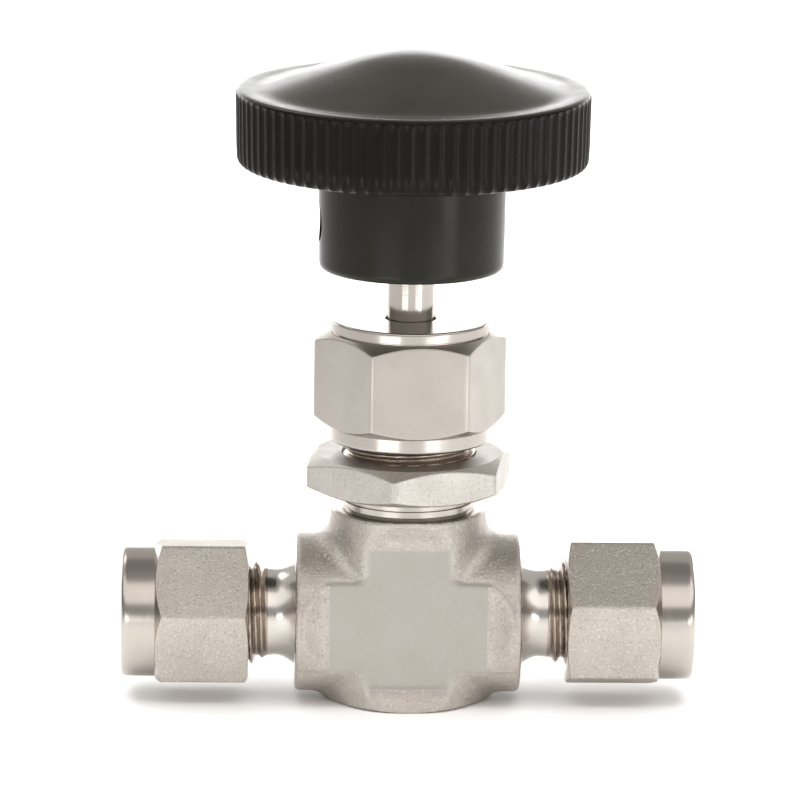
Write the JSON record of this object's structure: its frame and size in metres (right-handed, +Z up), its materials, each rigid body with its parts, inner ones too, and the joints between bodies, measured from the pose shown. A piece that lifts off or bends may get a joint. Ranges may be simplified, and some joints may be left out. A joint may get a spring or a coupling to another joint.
{
  "type": "needle valve",
  "caption": "Inline needle valve with forged body, twin-ferrule tube fittings, panel nut, packing nut and ribbed round handle.",
  "frame": {"origin": "centre of the body's flat underside, below the point where the stem axis crosses the flow axis", "axes": "+Z up along the stem axis, +X along the flow axis towards the outlet"},
  "size_m": [0.0598, 0.0368, 0.0685],
  "materials": {
    "forged_steel": "blasted satin stainless steel with polished turned ends",
    "turned_steel": "turned satin stainless steel with fine sparkle",
    "polished_steel": "ground and polished stainless steel",
    "ptfe": "waxy white packing",
    "brass": "machined brass",
    "phenolic": "glossy near-black moulded phenolic"
  },
  "bodies": {
    "valve_body": {"body": "forged_steel", "packing_washer": "turned_steel", "lower_packing": "ptfe", "middle_packing": "ptfe", "upper_packing": "ptfe"},
    "panel_nut": {"panel_nut": "forged_steel"},
    "packing_gland": {"packing_gland": "turned_steel"},
    "packing_nut": {"packing_nut": "turned_steel"},
    "needle": {"needle_tip": "turned_steel"},
    "handle_and_stem": {"stem": "polished_steel", "tip_retaining_ring": "polished_steel", "handle": "phenolic", "handle_insert": "brass", "handle_set_screw": "turned_steel"},
    "inlet_ferrules": {"inlet_front_ferrule": "turned_steel", "inlet_back_ferrule": "turned_steel"},
    "inlet_nut": {"inlet_nut": "turned_steel"},
    "outlet_ferrules": {"outlet_front_ferrule": "turned_steel", "outlet_back_ferrule": "turned_steel"},
    "outlet_nut": {"outlet_nut": "turned_steel"}
  },
  "joints": [
    {"name": "needle_lift", "type": "slide", "parent": "valve_body", "child": "needle", "axis": [0, 0, 1], "range_m": [-0.00363, 0.00091]},
    {"name": "handle_turn", "type": "hinge", "parent": "needle", "child": "handle_and_stem", "pos_m": [0, 0, 0.05], "axis": [0, 0, 1], "range_deg": [-1440, 360]},
    {"name": "gland_travel", "type": "slide", "parent": "valve_body", "child": "packing_gland", "axis": [0, 0, 1], "range_m": [-0.00025, 0.001]},
    {"name": "packing_nut_turn", "type": "hinge", "parent": "packing_gland", "child": "packing_nut", "pos_m": [0, 0, 0.035], "axis": [0, 0, 1], "range_deg": [-90, 360]},
    {"name": "panel_nut_travel", "type": "slide", "parent": "valve_body", "child": "panel_nut", "axis": [0, 0, 1], "range_m": [-0.001, 0.001]},
    {"name": "inlet_ferrule_travel", "type": "slide", "parent": "valve_body", "child": "inlet_ferrules", "axis": [-1, 0, 0], "range_m": [0, 0.00508]},
    {"name": "inlet_nut_turn", "type": "hinge", "parent": "inlet_ferrules", "child": "inlet_nut", "pos_m": [-0.023, 0, 0.009], "axis": [-1, 0, 0], "range_deg": [0, 1440]},
    {"name": "outlet_ferrule_travel", "type": "slide", "parent": "valve_body", "child": "outlet_ferrules", "axis": [1, 0, 0], "range_m": [0, 0.00508]},
    {"name": "outlet_nut_turn", "type": "hinge", "parent": "outlet_ferrules", "child": "outlet_nut", "pos_m": [0.023, 0, 0.009], "axis": [1, 0, 0], "range_deg": [0, 1440]}
  ],
  "couplings": [
    {"joint": "handle_turn", "follows": "needle_lift", "rad_per_m": 6927.4},
    {"joint": "packing_nut_turn", "follows": "gland_travel", "rad_per_m": 6283.1},
    {"joint": "inlet_nut_turn", "follows": "inlet_ferrule_travel", "rad_per_m": 4947.3},
    {"joint": "outlet_nut_turn", "follows": "outlet_ferrule_travel", "rad_per_m": 4947.3}
  ]
}
